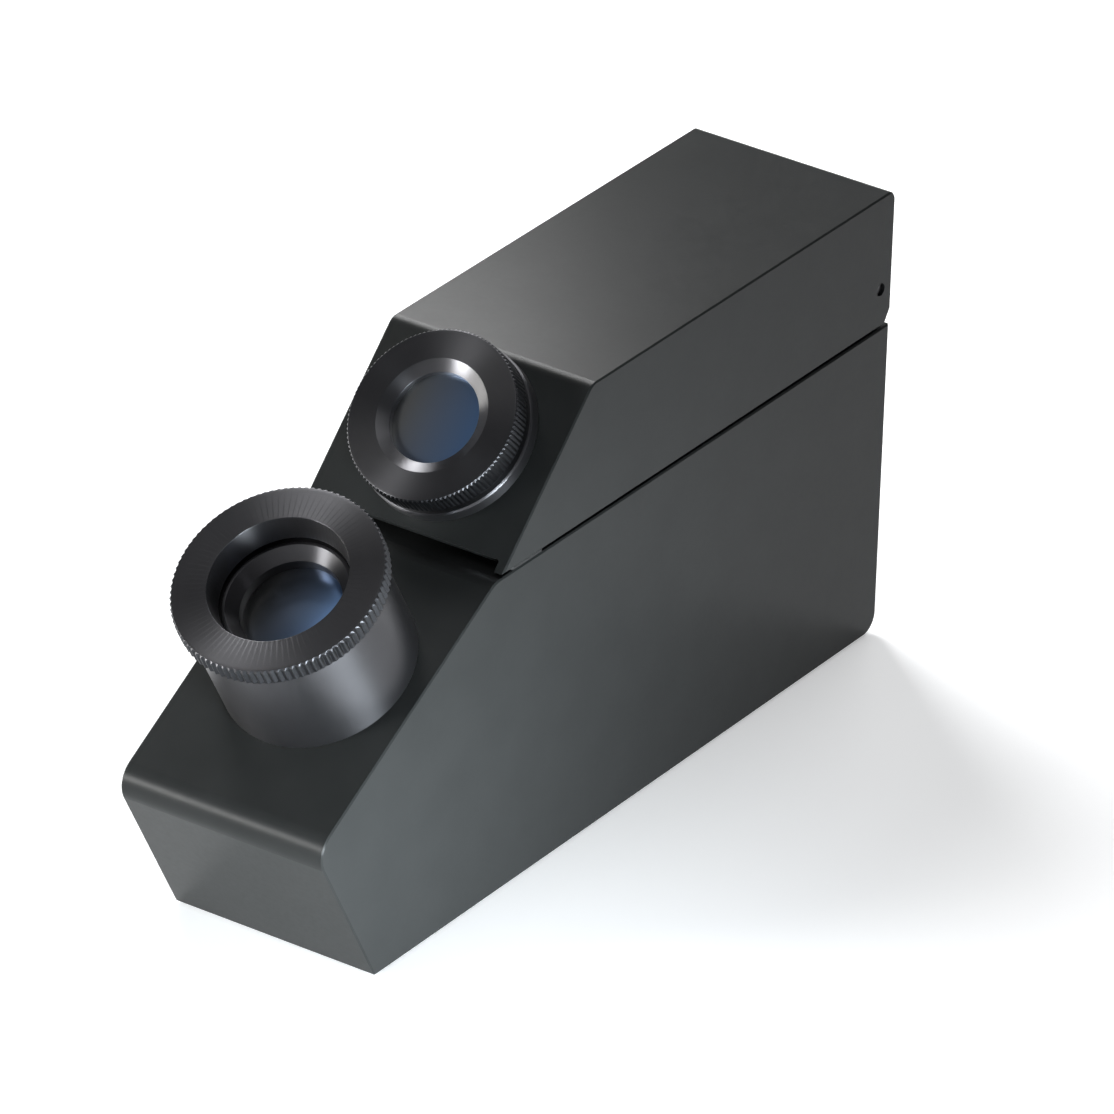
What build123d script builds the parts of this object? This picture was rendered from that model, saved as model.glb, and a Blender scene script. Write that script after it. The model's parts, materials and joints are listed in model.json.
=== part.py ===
from build123d import *
import math
import os

# Gem refractometer: a wedge-shaped housing with a hinged lid over its stage, a focusing eyepiece on
# the slanted front and a rotating polarising filter parked on the lid. All sizes are in millimetres.
# Heights and lengths are measured from the bottom front edge of the housing.

# Housing
width = 45.0
base_length = 166.0
base_height = 66.0
nose_reach = 19.3
nose_height = 33.7
shoulder_y = 35.5
nose_radius = 5.0
shoulder_radius = 5.5
heel_radius = 4.0
toe_radius = 0.8
edge_break = 0.3
profile_wall = 3.0
side_wall = 2.5

# Bottom plate, its pillars and the feet
foot_proud = 0.5
foot_radius = 5.0
foot_thickness = 1.5
foot_side_gap = 1.0
foot_front_y = 24.0
foot_back_margin = 22.0
plate_thickness = 2.5
plate_front_y = 4.0
plate_back_margin = 6.0
plate_gap = 0.15
pillar_radius = 4.2
pillar_height = 12.0
pillar_front_y = 11.0
pillar_back_margin = 13.0
pillar_merge = 0.3

# Screws: head radius, head height, shank radius and length under the head
m3_head, m3_head_height, m3_shank = 2.8, 1.6, 1.5
m2_head, m2_head_height, m2_shank = 1.9, 1.0, 1.0
plate_screw_length = 10.0
stage_screw_length = 2.8
rail_screw_length = 5.0
hinge_screw_length = 9.0
screw_gap = 0.05
drive_depth = 0.8
head_land = 0.2
socket_share = 0.8
grub_socket_share = 0.5

# Lid
lid_gap = 0.6
lid_front_y = 37.6
lid_bend_y = 65.1
lid_height = 27.8
lid_overhang = 0.2
lid_wall = 2.0
lid_bend_radius = 3.0
lid_back_radius = 2.0
lid_heel_rise = 2.8
lid_heel_run = 1.8
notch_height = 2.5
notch_radius = 0.6
bumper_length = 10.0
bumper_y = 46.0
bumper_width = 1.5
bumper_gap = 0.05

# Lid hinge
pin_inset = 3.7
pin_height = 8.6
pin_radius = 1.25
pin_recess = 0.6
pin_gap = 0.05
pin_engagement = 5.0
hinge_block_radius = 4.0
hinge_block_back = 2.6
hinge_side_gap = 0.3
back_wall_lift = 4.4
hinge_screw_x = 12.0

# Eyepiece barrel, on the slanted face
eye_along = 36.6
barrel_radius = 18.8
barrel_height = 22.5
barrel_bore = 15.2
barrel_floor = 4.0
guide_bore = 11.0
spigot_radius = 14.0
spigot_length = 9.5
scale_seat = 1.2
scale_lip = 1.2
lock_ring_wall = 2.0
lock_ring_thickness = 4.0
running_gap = 0.05
seat_gap = 0.02

# Focusing ring
ring_gap = 0.2
ring_radius = 20.4
ring_height = 3.8
ring_mouth = 13.5
ring_throat = 12.6
ring_cone = 5.2
ring_thread = 13.4
sleeve_depth = 10.5
groove_depth = 0.8
groove_below_top = 5.5
focus_teeth = 96
focus_tooth_depth = 0.45
rim_chamfer = 0.35
tooth_share = 0.8

# Lens cell
cell_below_rim = 2.0
cell_bottom = -2.0
shoulder_gap = 1.0
cell_tube_wall = 1.35
cell_travel_in = 3.5
cell_travel_out = 0.5
key_above_floor = 3.0
key_radius = 1.0
key_bite = 0.85
eye_lens_radius = 10.5
eye_lens_edge = 2.7
eye_lens_depth = 4.6
eye_lens_bulge = 1.0
retainer_step_depth = 3.2
retainer_radius = 12.4
retainer_mouth = 11.8
retainer_throat = 9.7
retainer_cone_depth = 2.4
retainer_drop = 0.1
field_lens_thickness = 2.4
field_lens_bulge = 0.6
field_lip = 1.0
field_lip_width = 0.6
field_retainer_height = 1.5
field_retainer_wall = 1.2

# Scale glass in the spigot
scale_thickness = 1.2
scale_ring_height = 1.1
scale_ring_wall = 1.05

# Optics: the ray leaves the prism, passes the objective and turns at the mirror into the eyepiece
mirror_height = 14.5
ray_angle = 35.0
objective_drop = 35.0
mirror_length = 20.0
mirror_width = 16.0
mirror_thickness = 2.0
bracket_width = 18.0
bracket_hole = 4.0
rail_front_margin = 1.5
rail_back_margin = 12.0
rail_width = 18.0
rail_thickness = 3.0
rail_screw_front_inset = 27.0
rail_screw_back_inset = 5.0
holder_radius = 9.0
holder_length = 14.0
holder_post_length = 11.0
holder_post_width = 12.0
objective_radius = 7.5
objective_edge = 2.4
objective_bulge = 1.2
objective_lip = 1.2
objective_lip_depth = 4.0
objective_ring_height = 2.0
objective_ring_wall = 1.2

# Stage and measuring prism
stage_length = 60.0
stage_side_margin = 4.5
stage_thickness = 1.5
stage_corner = 3.0
stage_gap = 0.1
stage_opening_length = 40.0
stage_opening_width = 26.0
stage_screw_inset = 4.5
cell_screw_x = 9.0
prism_radius = 9.0
prism_length = 14.0
prism_gap = 0.05
cheek_thickness = 4.0
cheek_length = 18.0
cheek_drop = 1.5
cradle_height = 2.0
cradle_length = 8.0

# Rear light port
port_height = 38.0
port_flange_radius = 11.0
port_flange_thickness = 1.2
port_radius = 9.0
port_bore = 7.5
port_bore_length = 3.0
port_seat = 8.3
port_length = 10.0
window_thickness = 1.5
filter_thickness = 1.5
window_ring_height = 1.5
window_ring_wall = 1.3
port_nut_radius = 12.0
port_nut_height = 3.0

# Polarising filter on the lid's slanted face
filter_along = 21.8
stub_radius = 12.0
stub_height = 4.0
stub_spigot_radius = 8.0
stub_spigot_length = 5.0
stub_nut_radius = 11.5
stub_nut_height = 2.8
collar_radius = 17.3
collar_height = 3.3
collar_lift = 0.05
neck_radius = 15.5
neck_height = 7.0
cap_radius = 17.0
cap_low = 4.6
cap_high = 9.4
cap_mouth = 11.2
cap_throat = 8.9
cap_cone_low = 8.2
cap_roof = 7.25
cap_teeth = 116
cap_tooth_depth = 0.3
hub_radius = 11.7
hub_low = 4.7
glass_radius = 10.1
glass_high = 6.9
glass_thickness = 1.4
glass_ring_wall = 1.2
snap_height = 5.2
snap_thickness = 0.6
snap_out = 0.4
snap_in = 0.5

# Worked out from the sizes above
foot_angle = math.atan2(base_height - nose_height, shoulder_y + nose_reach)
along_y, along_z = math.cos(foot_angle), math.sin(foot_angle)
out_y, out_z = -along_z, along_y
eye_y = -nose_reach + eye_along * along_y
eye_z = nose_height + eye_along * along_z
front_length = math.hypot(nose_reach, nose_height)
lean_y, lean_z = nose_reach / front_length, -nose_height / front_length
bisector = math.hypot(along_y + lean_y, along_z + lean_z)
nose_half_angle = math.acos(along_y * lean_y + along_z * lean_z) / 2
nose_centre_y = -nose_reach + (along_y + lean_y) / bisector * nose_radius / math.sin(nose_half_angle)
lid_back = base_length + lid_overhang
ring_low = barrel_height + ring_gap
ring_top = ring_low + ring_height
ring_front_y = eye_y + out_y * (ring_top - rim_chamfer) - along_y * ring_radius
front_y = min(nose_centre_y - nose_radius, ring_front_y)
middle_y = (front_y + lid_back) / 2

lid_low = base_height + lid_gap
lid_top = lid_low + lid_height
lid_slope = math.atan2(lid_height, lid_bend_y - lid_front_y)
pin_y = lid_back - pin_inset
pin_z = base_height + pin_height
inside_x = width / 2 - side_wall
lid_inside_x = width / 2 - lid_wall

plate_low = foot_thickness - foot_proud
plate_top = plate_low + plate_thickness
plate_back_y = base_length - plate_back_margin
pillar_x = inside_x - pillar_radius + pillar_merge
pillar_back_y = base_length - pillar_back_margin
foot_x = inside_x - foot_radius - foot_side_gap
foot_back_y = base_length - foot_back_margin
stage_width = width - 2 * stage_side_margin
lock_ring_radius = spigot_radius + lock_ring_wall

cell_top = barrel_height - cell_below_rim
key_height = barrel_floor + key_above_floor
groove_width = 2 * (key_radius + running_gap)
groove_centre = barrel_height - groove_below_top
cell_shoulder = key_height + key_radius + cell_travel_in + shoulder_gap
eye_lens_high = cell_top - eye_lens_depth
eye_lens_low = eye_lens_high - eye_lens_edge
retainer_step = cell_top - retainer_step_depth
retainer_cone_low = cell_top - retainer_cone_depth

rail_top = plate_top + rail_thickness
mirror_z = rail_top + mirror_height
mirror_y = eye_y - out_y * (eye_z - mirror_z) / out_z
ray_y, ray_z = math.cos(math.radians(ray_angle)), math.sin(math.radians(ray_angle))
mirror_spread = math.hypot(out_y + ray_y, out_z + ray_z)
face_y, face_z = (out_y + ray_y) / mirror_spread, (out_z + ray_z) / mirror_spread
stage_y = mirror_y + (base_height - mirror_z) * ray_y / ray_z
lens_y = stage_y - ray_y * objective_drop
lens_z = base_height - ray_z * objective_drop
half_mirror = mirror_length / 2
mirror_back_y = mirror_y - face_y * mirror_thickness
mirror_back_z = mirror_z - face_z * mirror_thickness
rail_front_y = mirror_back_y - face_z * half_mirror - rail_front_margin
rail_back_y = lens_y + holder_post_length / 2 + rail_back_margin
rail_screw_front_y = rail_front_y + rail_screw_front_inset
rail_screw_back_y = rail_back_y - rail_screw_back_inset

# Side view plane: local x runs back along the object, local y runs up
side = Plane(origin=(0, -middle_y, foot_proud), x_dir=(0, 1, 0), z_dir=(1, 0, 0))
up = (0, 1)
down = (0, -1)


def turning(y, z, toward, x=0.0):
    """Half-section plane of a turned piece: local x is the radius, local y the height."""
    toward_y, toward_z = toward
    return Plane(origin=(x, y - middle_y, z + foot_proud), x_dir=(1, 0, 0), z_dir=(0, -toward_z, toward_y))


def across(plane):
    """Plane square to a turned piece's axis, facing along it."""
    return Plane(origin=plane.origin, x_dir=(1, 0, 0), z_dir=plane.y_dir)


def turn(plane, *outline, mode=Mode.ADD):
    """Turns an outline of radius and height points about the plane's height axis."""
    with BuildSketch(plane) as section:
        with BuildLine():
            Polyline(*outline, close=True)
        make_face()
    revolve(section.sketch.faces(), axis=Axis(plane.origin, plane.y_dir), mode=mode)


def tube(plane, inner, outer, low, high, mode=Mode.ADD):
    """A plain ring or, with an inner radius of zero, a plain disc."""
    turn(plane, (inner, low), (outer, low), (outer, high), (inner, high), mode=mode)


def lens_shape(plane, radius, clear_radius, low, high, low_bulge, high_bulge):
    """A round lens with a flat rim outside its clear radius and a bulge on each side."""
    with BuildSketch(plane) as section:
        with BuildLine():
            top = TangentArc((0, high + high_bulge), (clear_radius, high), tangent=(1, 0))
            bottom = TangentArc((0, low - low_bulge), (clear_radius, low), tangent=(1, 0))
            Polyline(top @ 1, (radius, high), (radius, low), bottom @ 1)
            Line(bottom @ 0, top @ 0)
        make_face()
    revolve(section.sketch.faces(), axis=Axis(plane.origin, plane.y_dir))


def screw_outline(head, head_height, shank, length, gap=0.0):
    """Half-section of a countersunk screw that goes down from its flat head at height zero."""
    return (
        (0, 0),
        (head + gap, 0),
        (head + gap, -head_land - gap),
        (shank + gap, -head_height - gap),
        (shank + gap, -length - gap),
        (0, -length - gap),
    )


def screw(plane, head, head_height, shank, length):
    """A countersunk screw with a hexagon socket."""
    turn(plane, *screw_outline(head, head_height, shank, length))
    with BuildSketch(across(plane)) as socket:
        RegularPolygon(radius=shank * socket_share, side_count=6)
    extrude(socket.sketch.faces(), amount=-drive_depth, mode=Mode.SUBTRACT)


def screw_hole(plane, head, head_height, shank, length):
    """The hole that a countersunk screw sits in."""
    turn(plane, *screw_outline(head, head_height, shank, length, screw_gap), mode=Mode.SUBTRACT)


def beside_eye(height, along=0.0):
    """Point of the side view at a height above the eyepiece's foot and a distance up the slope."""
    return eye_y + out_y * height + along_y * along, eye_z + out_z * height + along_z * along


def grub_screw(height, reach):
    """A socket set screw in the barrel's wall, from its outside in to a radius of reach."""
    with BuildSketch(side.offset(-barrel_radius)) as head:
        with Locations(beside_eye(height)):
            Circle(key_radius)
            RegularPolygon(radius=key_radius * grub_socket_share, side_count=6, mode=Mode.SUBTRACT)
    extrude(head.sketch.faces(), amount=drive_depth)
    with BuildSketch(side.offset(drive_depth - barrel_radius)) as shank:
        with Locations(beside_eye(height)):
            Circle(key_radius)
    extrude(shank.sketch.faces(), amount=barrel_radius - drive_depth - reach)


def knurl(plane, radius, low, high, teeth, depth):
    """Straight V grooves all round a rim."""
    half_width = math.pi * radius / teeth * tooth_share
    with BuildSketch(across(plane).offset(low)) as grooves:
        with PolarLocations(radius, teeth):
            Polygon((depth, -2 * half_width), (depth, 2 * half_width), (-depth, 0), align=None)
    extrude(grooves.sketch.faces(), amount=high - low, mode=Mode.SUBTRACT)


def housing_outline(drop=0.0):
    """Side view of the housing; drop carries its walls on below the bottom edge."""
    foot_run = nose_reach / nose_height * drop
    with BuildSketch() as outline:
        with BuildLine():
            Polyline(
                (foot_run, -drop),
                (-nose_reach, nose_height),
                (shoulder_y, base_height),
                (base_length, base_height),
                (base_length, -drop),
                close=True,
            )
        make_face()
        fillet(outline.vertices().sort_by(Axis.X)[0], radius=nose_radius)
        fillet(outline.vertices().group_by(Axis.Y)[-1].sort_by(Axis.X)[0], radius=shoulder_radius)
    return outline.sketch


def lid_outline(drop=0.0):
    """Side view of the lid; drop carries its walls on below the bottom edge."""
    front_run = (lid_bend_y - lid_front_y) / lid_height * drop
    with BuildSketch() as outline:
        with BuildLine():
            Polyline(
                (lid_front_y - front_run, lid_low - drop),
                (lid_bend_y, lid_top),
                (lid_back, lid_top),
                (lid_back, lid_low - drop),
                close=True,
            )
        make_face()
        top_corners = outline.vertices().group_by(Axis.Y)[-1].sort_by(Axis.X)
        fillet(top_corners[0], radius=lid_bend_radius)
        fillet(outline.vertices().group_by(Axis.Y)[-1].sort_by(Axis.X)[-1], radius=lid_back_radius)
    return outline.sketch


# Planes of the turned pieces
eye = turning(eye_y, eye_z, (out_y, out_z))
objective = turning(lens_y, lens_z, (ray_y, ray_z))
port = turning(base_length, port_height, (1, 0))
lid_out_y, lid_out_z = -math.sin(lid_slope), math.cos(lid_slope)
filter_y = lid_front_y + filter_along * math.cos(lid_slope)
filter_z = lid_low + filter_along * math.sin(lid_slope)
filter_axis = turning(filter_y, filter_z, (lid_out_y, lid_out_z))
lid_face = across(turning(lid_front_y, lid_low, (lid_out_y, lid_out_z)))
stage_top = across(turning(stage_y, base_height, up))

plate_screws = [
    turning(y, plate_low, down, x)
    for y in (pillar_front_y, pillar_back_y)
    for x in (-pillar_x, pillar_x)
]
rail_screws_at = [turning(y, plate_low, down) for y in (rail_screw_front_y, rail_screw_back_y)]
stage_corner_x = stage_width / 2 - stage_screw_inset
stage_corner_y = stage_length / 2 - stage_screw_inset
stage_screws_at = [
    turning(stage_y + y, base_height, up, x)
    for y in (-stage_corner_y, stage_corner_y)
    for x in (-stage_corner_x, stage_corner_x)
] + [turning(stage_y, base_height, up, x) for x in (-cell_screw_x, cell_screw_x)]
hinge_screws_at = [
    turning(pin_y, base_height - profile_wall, down, x) for x in (-hinge_screw_x, hinge_screw_x)
]

# Base housing: a hollow wedge, open at the bottom
with BuildPart() as base_housing:
    with BuildSketch(side) as outer:
        add(housing_outline())
        fillet(outer.vertices().group_by(Axis.Y)[0].sort_by(Axis.X)[-1], radius=heel_radius)
        fillet(outer.vertices().group_by(Axis.Y)[0].sort_by(Axis.X)[0], radius=toe_radius)
    extrude(amount=width / 2, both=True)
    side_faces = base_housing.faces().filter_by(Axis.X)
    chamfer(side_faces.edges(), length=edge_break)
    with BuildSketch(side):
        add(housing_outline(drop=2 * profile_wall))
        offset(amount=-profile_wall)
        with Locations((base_length / 2, plate_top)):
            Rectangle(2 * base_length, 2 * base_height, align=(Align.CENTER, Align.MAX), mode=Mode.SUBTRACT)
    extrude(amount=inside_x, both=True, mode=Mode.SUBTRACT)
    with BuildSketch(side):
        with Locations((plate_front_y, 0)):
            Rectangle(plate_back_y - plate_front_y, plate_top, align=Align.MIN)
    extrude(amount=inside_x, both=True, mode=Mode.SUBTRACT)
    for place in plate_screws:
        tube(place, 0, pillar_radius, -plate_thickness - pillar_height, -plate_thickness)
        screw_hole(place, m3_head, m3_head_height, m3_shank, plate_screw_length)
    with BuildSketch(stage_top):
        RectangleRounded(stage_width, stage_length, stage_corner)
    extrude(amount=-stage_thickness, mode=Mode.SUBTRACT)
    with BuildSketch(stage_top):
        Rectangle(stage_opening_width, stage_opening_length)
    extrude(amount=-2 * profile_wall, mode=Mode.SUBTRACT)
    for place in stage_screws_at[:4]:
        tube(place, 0, m2_shank + screw_gap, -stage_screw_length, 0, mode=Mode.SUBTRACT)
    tube(eye, 0, spigot_radius + seat_gap, -2 * profile_wall, profile_wall, mode=Mode.SUBTRACT)
    tube(port, 0, port_radius + seat_gap, -2 * profile_wall, 0, mode=Mode.SUBTRACT)
    tube(port, 0, port_flange_radius + seat_gap, -port_flange_thickness, 0, mode=Mode.SUBTRACT)
    for place in hinge_screws_at:
        screw_hole(place, m3_head, m3_head_height, m3_shank, hinge_screw_length)

# Bottom plate, its screws and the rubber feet
with BuildPart() as bottom_plate:
    with BuildSketch(side):
        with Locations((plate_front_y + plate_gap, plate_low)):
            Rectangle(plate_back_y - plate_front_y - 2 * plate_gap, plate_thickness, align=Align.MIN)
    extrude(amount=inside_x - plate_gap, both=True)
    for place in plate_screws:
        screw_hole(place, m3_head, m3_head_height, m3_shank, plate_screw_length)
    for place in rail_screws_at:
        screw_hole(place, m3_head, m3_head_height, m3_shank, rail_screw_length)

with BuildPart() as bottom_screws:
    for place in plate_screws:
        screw(place, m3_head, m3_head_height, m3_shank, plate_screw_length)

with BuildPart() as rubber_feet:
    for y in (foot_front_y, foot_back_y):
        for x in (-foot_x, foot_x):
            tube(turning(y, plate_low, down, x), 0, foot_radius, 0, foot_thickness)

# Stage plate, its screws, the measuring prism and its cell
with BuildPart() as stage_plate:
    with BuildSketch(stage_top):
        RectangleRounded(stage_width - 2 * stage_gap, stage_length - 2 * stage_gap, stage_corner - stage_gap)
        Rectangle(prism_length + 2 * prism_gap, 2 * (prism_radius + prism_gap), mode=Mode.SUBTRACT)
    extrude(amount=-stage_thickness)
    for place in stage_screws_at:
        screw_hole(place, m2_head, m2_head_height, m2_shank, stage_screw_length)

with BuildPart() as stage_screws:
    for place in stage_screws_at:
        screw(place, m2_head, m2_head_height, m2_shank, stage_screw_length)

with BuildPart() as measuring_prism:
    with BuildSketch(side):
        with Locations((stage_y, base_height)):
            Circle(prism_radius)
            Rectangle(2 * prism_radius, prism_radius, align=(Align.CENTER, Align.MIN), mode=Mode.SUBTRACT)
    extrude(amount=prism_length / 2, both=True)

cheek_inner = prism_length / 2 + prism_gap
cheek_low = base_height - prism_radius - cheek_drop
stage_bottom = base_height - stage_thickness
with BuildPart() as prism_cell:
    with BuildSketch(side):
        with Locations((stage_y, stage_bottom)):
            Rectangle(cheek_length, stage_bottom - cheek_low, align=(Align.CENTER, Align.MAX))
    extrude(amount=cheek_inner + cheek_thickness, both=True)
    with BuildSketch(side):
        with Locations((stage_y, cheek_low)):
            Rectangle(2 * cheek_length, base_height, align=(Align.CENTER, Align.MIN))
    extrude(amount=cheek_inner, both=True, mode=Mode.SUBTRACT)
    with BuildSketch(side):
        with Locations((stage_y, cheek_low)):
            Rectangle(cradle_length, cradle_height + cheek_drop, align=(Align.CENTER, Align.CENTER))
        with Locations((stage_y, base_height)):
            Circle(prism_radius + prism_gap, mode=Mode.SUBTRACT)
    extrude(amount=cheek_inner + cheek_thickness, both=True)
    for place in stage_screws_at[4:]:
        screw_hole(place, m2_head, m2_head_height, m2_shank, stage_screw_length)

# Eyepiece barrel with its spigot through the slanted wall, and the ring that locks it
spigot_end = -spigot_length
scale_seat_high = spigot_end + scale_lip
with BuildPart() as eyepiece_barrel:
    turn(
        eye,
        (guide_bore - scale_seat, spigot_end),
        (spigot_radius, spigot_end),
        (spigot_radius, 0),
        (barrel_radius, 0),
        (barrel_radius, barrel_height),
        (barrel_bore, barrel_height),
        (barrel_bore, barrel_floor),
        (guide_bore, barrel_floor),
        (guide_bore, scale_seat_high),
        (guide_bore - scale_seat, scale_seat_high),
    )
    for height in (groove_centre, key_height):
        with BuildSketch(side.offset(-barrel_radius)) as hole:
            with Locations(beside_eye(height)):
                Circle(key_radius + seat_gap)
        extrude(hole.sketch.faces(), amount=barrel_radius - guide_bore, mode=Mode.SUBTRACT)

with BuildPart() as barrel_lock_ring:
    tube(eye, spigot_radius + seat_gap, lock_ring_radius, -profile_wall - lock_ring_thickness, -profile_wall)

with BuildPart() as scale_glass:
    tube(eye, 0, guide_bore - seat_gap, scale_seat_high, scale_seat_high + scale_thickness)

with BuildPart() as scale_retaining_ring:
    scale_ring_low = scale_seat_high + scale_thickness
    scale_ring_high = scale_ring_low + scale_ring_height
    tube(eye, guide_bore - scale_ring_wall, guide_bore - seat_gap, scale_ring_low, scale_ring_high)

# Focusing ring: knurled rim, conical mouth and a threaded sleeve inside the barrel
sleeve_radius = barrel_bore - running_gap
groove_low = groove_centre - groove_width / 2
with BuildPart() as focus_ring:
    turn(
        eye,
        (ring_mouth, ring_top),
        (ring_throat, ring_top - ring_cone),
        (ring_thread, ring_top - ring_cone),
        (ring_thread, barrel_height - sleeve_depth),
        (sleeve_radius, barrel_height - sleeve_depth),
        (sleeve_radius, groove_low),
        (sleeve_radius - groove_depth, groove_low),
        (sleeve_radius - groove_depth, groove_low + groove_width),
        (sleeve_radius, groove_low + groove_width),
        (sleeve_radius, ring_low),
        (ring_radius - rim_chamfer, ring_low),
        (ring_radius, ring_low + rim_chamfer),
        (ring_radius, ring_top - rim_chamfer),
        (ring_radius - rim_chamfer, ring_top),
    )
    knurl(eye, ring_radius, ring_low, ring_top, focus_teeth, focus_tooth_depth)

with BuildPart() as ring_retaining_screw:
    grub_screw(groove_centre, sleeve_radius - groove_depth / 2)

# Lens cell: slides in the ring's thread above and in the barrel's guide bore below
cell_radius = ring_thread - running_gap
cell_tube = guide_bore - running_gap
cell_bore = cell_tube - cell_tube_wall
with BuildPart() as lens_cell:
    turn(
        eye,
        (retainer_radius, cell_top),
        (retainer_radius, retainer_step),
        (eye_lens_radius + seat_gap, retainer_step),
        (eye_lens_radius + seat_gap, eye_lens_low),
        (cell_bore, eye_lens_low),
        (cell_bore, cell_bottom + field_lip),
        (cell_bore - field_lip_width, cell_bottom + field_lip),
        (cell_bore - field_lip_width, cell_bottom),
        (cell_tube, cell_bottom),
        (cell_tube, cell_shoulder),
        (cell_radius, cell_shoulder),
        (cell_radius, cell_top),
    )
    slot_half_width = key_radius + running_gap
    slot_low = key_height - key_radius - cell_travel_out - 2 * running_gap
    slot_high = key_height + key_radius + cell_travel_in + 2 * running_gap
    with BuildSketch(side.offset(-cell_tube - 1)) as slot:
        with BuildLine():
            Polyline(
                beside_eye(slot_low, -slot_half_width),
                beside_eye(slot_low, slot_half_width),
                beside_eye(slot_high, slot_half_width),
                beside_eye(slot_high, -slot_half_width),
                close=True,
            )
        make_face()
    extrude(slot.sketch.faces(), amount=1 + 2 * cell_tube_wall, mode=Mode.SUBTRACT)

with BuildPart() as focus_key_screw:
    grub_screw(key_height, cell_tube - key_bite)

with BuildPart() as eye_lens:
    lens_shape(
        eye,
        eye_lens_radius,
        cell_bore - seat_gap,
        eye_lens_low,
        eye_lens_high,
        eye_lens_bulge,
        eye_lens_bulge,
    )

with BuildPart() as eye_lens_retainer:
    retainer_top = cell_top - retainer_drop
    turn(
        eye,
        (retainer_throat, eye_lens_high),
        (eye_lens_radius, eye_lens_high),
        (eye_lens_radius, retainer_step + seat_gap),
        (retainer_radius - seat_gap, retainer_step + seat_gap),
        (retainer_radius - seat_gap, retainer_top),
        (retainer_mouth, retainer_top),
        (retainer_throat, retainer_cone_low),
    )

field_lens_low = cell_bottom + field_lip
field_lens_high = field_lens_low + field_lens_thickness
with BuildPart() as field_lens:
    lens_shape(
        eye,
        cell_bore - seat_gap,
        cell_bore - field_retainer_wall - seat_gap,
        field_lens_low,
        field_lens_high,
        field_lens_bulge,
        field_lens_bulge,
    )

with BuildPart() as field_lens_retainer:
    field_retainer_high = field_lens_high + field_retainer_height
    tube(eye, cell_bore - field_retainer_wall, cell_bore - seat_gap, field_lens_high, field_retainer_high)

# Optics rail with the mirror, the objective and their supports
with BuildPart() as optics_rail:
    with BuildSketch(side):
        with Locations((rail_front_y, plate_top)):
            Rectangle(rail_back_y - rail_front_y, rail_thickness, align=Align.MIN)
    extrude(amount=rail_width / 2, both=True)
    for place in rail_screws_at:
        screw_hole(place, m3_head, m3_head_height, m3_shank, rail_screw_length)

with BuildPart() as rail_screws:
    for place in rail_screws_at:
        screw(place, m3_head, m3_head_height, m3_shank, rail_screw_length)

with BuildPart() as mirror_bracket:
    with BuildSketch(side):
        with BuildLine():
            Polyline(
                (mirror_back_y - face_z * half_mirror, rail_top),
                (mirror_back_y - face_z * half_mirror, mirror_back_z + face_y * half_mirror),
                (mirror_back_y + face_z * half_mirror, mirror_back_z - face_y * half_mirror),
                (mirror_back_y + face_z * half_mirror, rail_top),
                close=True,
            )
        make_face()
        with Locations((mirror_back_y, (rail_top + mirror_back_z) / 2)):
            Circle(bracket_hole, mode=Mode.SUBTRACT)
    extrude(amount=bracket_width / 2, both=True)

with BuildPart() as mirror:
    with BuildSketch(across(turning(mirror_back_y, mirror_back_z, (face_y, face_z)))):
        Rectangle(mirror_width, mirror_length)
    extrude(amount=mirror_thickness)

holder_low = -holder_length / 2
with BuildPart() as lens_holder:
    tube(objective, 0, holder_radius, holder_low, -holder_low)
    with BuildSketch(side):
        with Locations((lens_y, rail_top)):
            Rectangle(holder_post_length, lens_z - rail_top, align=(Align.CENTER, Align.MIN))
    extrude(amount=holder_post_width / 2, both=True)
    lip_high = holder_low + objective_lip_depth
    tube(objective, 0, objective_radius - objective_lip, 2 * holder_low, lip_high, mode=Mode.SUBTRACT)
    tube(objective, 0, objective_radius + seat_gap, lip_high, -2 * holder_low, mode=Mode.SUBTRACT)

objective_low = holder_low + objective_lip_depth
with BuildPart() as objective_lens:
    lens_shape(
        objective,
        objective_radius,
        objective_radius - objective_ring_wall - seat_gap,
        objective_low,
        objective_low + objective_edge,
        objective_bulge,
        objective_bulge,
    )

with BuildPart() as objective_retaining_ring:
    objective_high = objective_low + objective_edge
    tube(
        objective,
        objective_radius - objective_ring_wall,
        objective_radius,
        objective_high,
        objective_high + objective_ring_height,
    )

# Rear light port: flanged ring, frosted window, yellow filter, the ring that holds them, and the nut
with BuildPart() as light_port_ring:
    turn(
        port,
        (port_bore, 0),
        (port_flange_radius, 0),
        (port_flange_radius, -port_flange_thickness),
        (port_radius, -port_flange_thickness),
        (port_radius, -port_length),
        (port_seat, -port_length),
        (port_seat, -port_bore_length),
        (port_bore, -port_bore_length),
    )

window_low = -port_bore_length - window_thickness
with BuildPart() as frosted_window:
    tube(port, 0, port_seat - seat_gap, window_low, -port_bore_length)

with BuildPart() as yellow_filter:
    tube(port, 0, port_seat - seat_gap, window_low - filter_thickness, window_low)

with BuildPart() as window_retaining_ring:
    window_ring_high = window_low - filter_thickness
    window_ring_low = window_ring_high - window_ring_height
    tube(port, port_seat - window_ring_wall, port_seat - seat_gap, window_ring_low, window_ring_high)

with BuildPart() as port_nut:
    with BuildSketch(across(port).offset(-profile_wall - port_nut_height)):
        RegularPolygon(radius=port_nut_radius, side_count=6, major_radius=False)
        Circle(port_radius + seat_gap, mode=Mode.SUBTRACT)
    extrude(amount=port_nut_height)

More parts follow.
